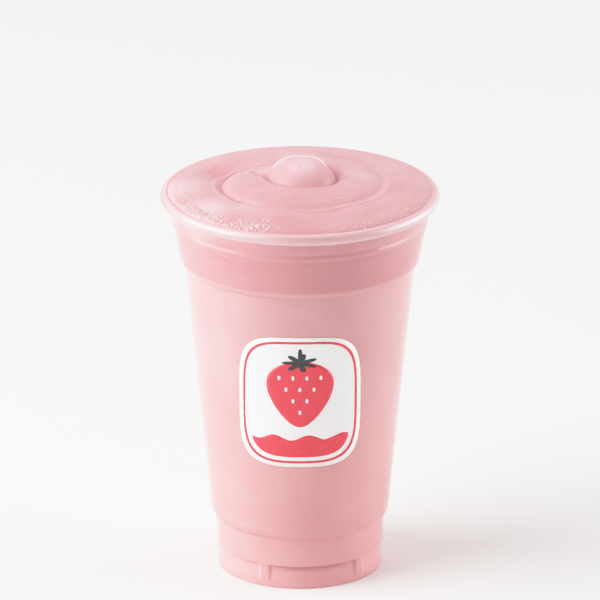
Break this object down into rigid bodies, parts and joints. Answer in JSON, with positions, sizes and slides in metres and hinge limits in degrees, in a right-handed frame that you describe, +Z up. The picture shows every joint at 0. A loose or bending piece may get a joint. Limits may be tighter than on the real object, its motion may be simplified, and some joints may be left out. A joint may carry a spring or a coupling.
{
  "type": "strawberry smoothie in a clear plastic cup",
  "caption": "Clear takeaway cup with a rolled lip, stepped neck and panelled foot, filled with a pink strawberry smoothie whose swirled top stands above the lip.",
  "frame": {"origin": "middle of the foot, on the surface that the cup stands on", "axes": "+Z up along the cup's axis; the cup's printed front faces -Y, and +X is to its right as seen from the front"},
  "size_m": [0.0979, 0.098, 0.1493],
  "materials": {
    "clear_plastic": "clear and glossy",
    "strawberry_smoothie": "soft gloss of a thick blended drink",
    "froth": "small wet bubbles",
    "fruit_flecks": "moist specks of fruit and seed",
    "white_print": "satin ink",
    "red_print": "satin ink",
    "dark_print": "satin ink"
  },
  "bodies": {
    "root": {"cup": "clear_plastic", "smoothie": "strawberry_smoothie"}
  },
  "joints": []
}
